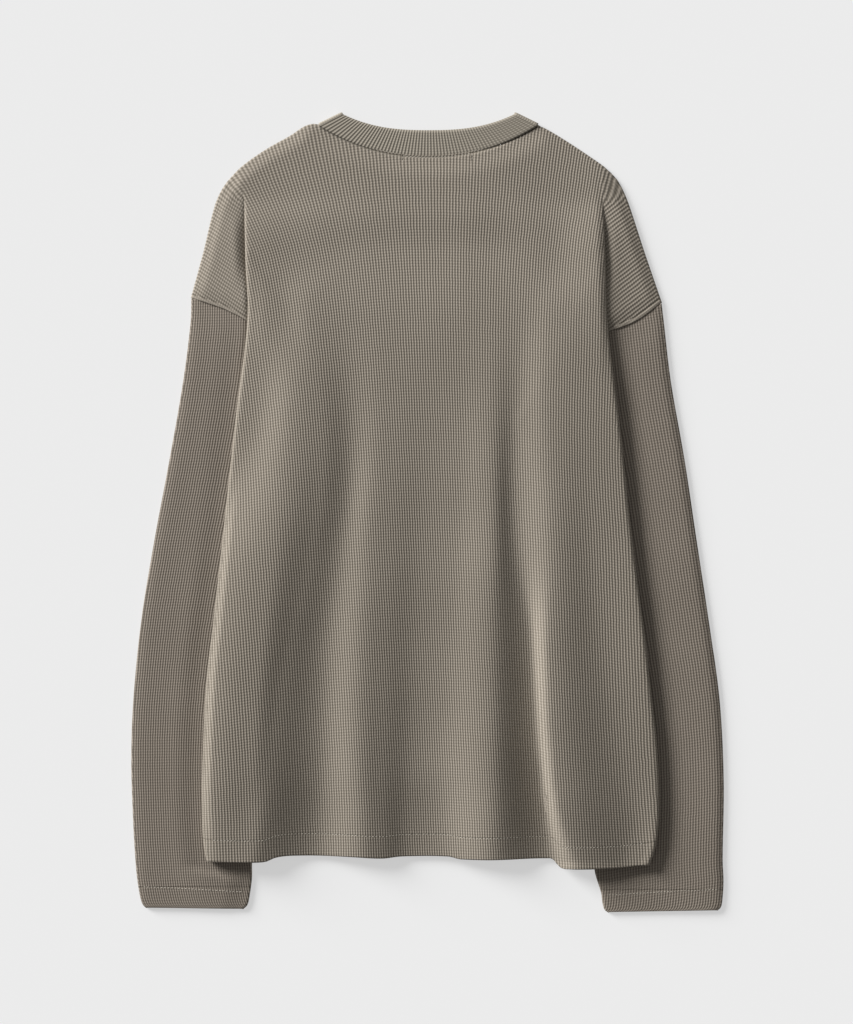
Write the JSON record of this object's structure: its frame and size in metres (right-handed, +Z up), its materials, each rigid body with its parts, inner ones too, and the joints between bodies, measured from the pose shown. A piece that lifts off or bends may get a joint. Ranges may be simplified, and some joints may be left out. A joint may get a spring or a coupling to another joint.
{
  "type": "thermal top",
  "caption": "Long-sleeved waffle-knit thermal top with a ribbed crew neck, laid flat with its back up and its sleeves turned down.",
  "frame": {"origin": "on the surface it lies on, under the middle of the whole top", "axes": "+X to the right seen from above, +Y from the hem to the neck, +Z up out of the back"},
  "size_m": [0.5695, 0.7681, 0.0167],
  "materials": {
    "waffle_knit": "matte taupe waffle knit",
    "neck_rib": "matte taupe rib knit"
  },
  "bodies": {
    "root": {"back_panel": "waffle_knit", "front_panel": "waffle_knit", "sleeve_left": "waffle_knit", "sleeve_right": "waffle_knit", "neckband": "neck_rib"}
  },
  "joints": []
}
